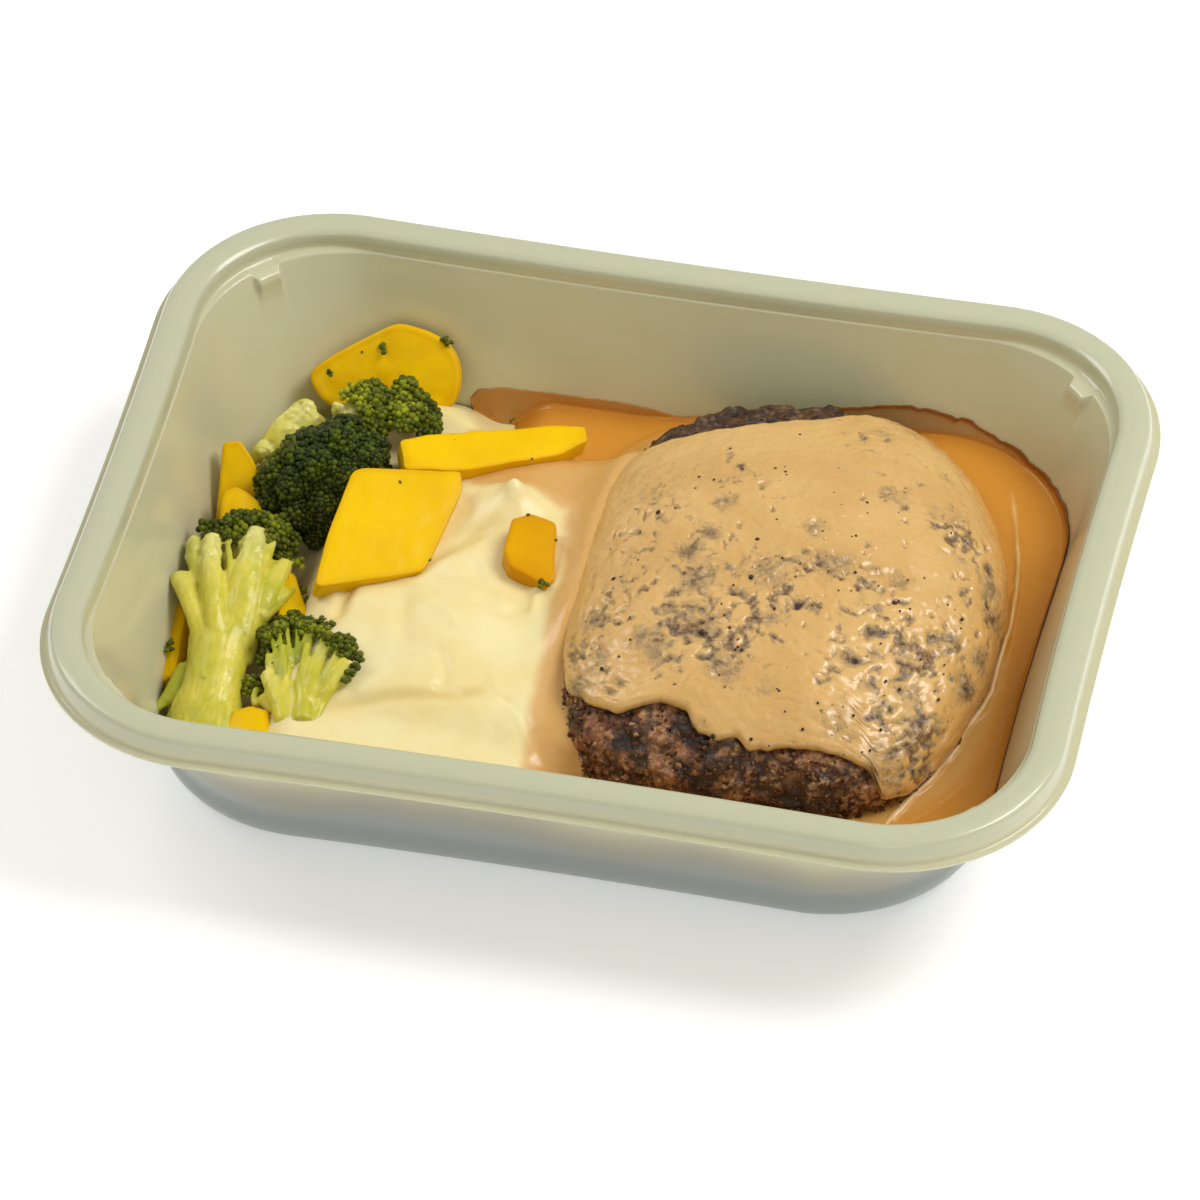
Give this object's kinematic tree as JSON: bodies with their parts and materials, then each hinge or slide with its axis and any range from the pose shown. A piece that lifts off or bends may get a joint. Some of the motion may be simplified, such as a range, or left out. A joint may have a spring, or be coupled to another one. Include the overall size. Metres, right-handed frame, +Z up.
{
  "type": "airline meal tray",
  "caption": "Rounded rectangular plastic meal tray holding a hamburger steak in cream sauce, mashed potato, yellow carrot slices and broccoli florets.",
  "frame": {"origin": "middle of the tray's flat base, on the plane that it rests on", "axes": "+X along the long side, from the vegetables to the steak; -Y towards the eater; +Z up"},
  "size_m": [0.224, 0.1754, 0.0462],
  "materials": {
    "tray_plastic": "glossy, slightly translucent",
    "browned_meat": "rough, moist crust",
    "cream_sauce": "wet, glossy",
    "sauce_pool": "wet, glossy",
    "mashed_potato": "soft, moist",
    "carrot": "moist cut faces",
    "broccoli_buds": "matt beads",
    "broccoli_stalk": "moist, smooth"
  },
  "bodies": {
    "root": {"tray": "tray_plastic", "hamburger_steak": "browned_meat", "sauce_coat": "cream_sauce", "sauce_pool": "sauce_pool", "mashed_potato": "mashed_potato", "carrot_wedge": "carrot", "carrot_strip": "carrot", "carrot_diamond": "carrot", "carrot_chip": "carrot", "carrot_left_back": "carrot", "carrot_left_front": "carrot", "carrot_between": "carrot", "carrot_shadow": "carrot", "carrot_front": "carrot", "broccoli_crown": "broccoli_buds", "broccoli_back_left": "broccoli_buds", "broccoli_back_right": "broccoli_buds", "broccoli_offcut": "broccoli_stalk", "broccoli_long": "broccoli_stalk", "broccoli_front": "broccoli_stalk"}
  },
  "joints": []
}
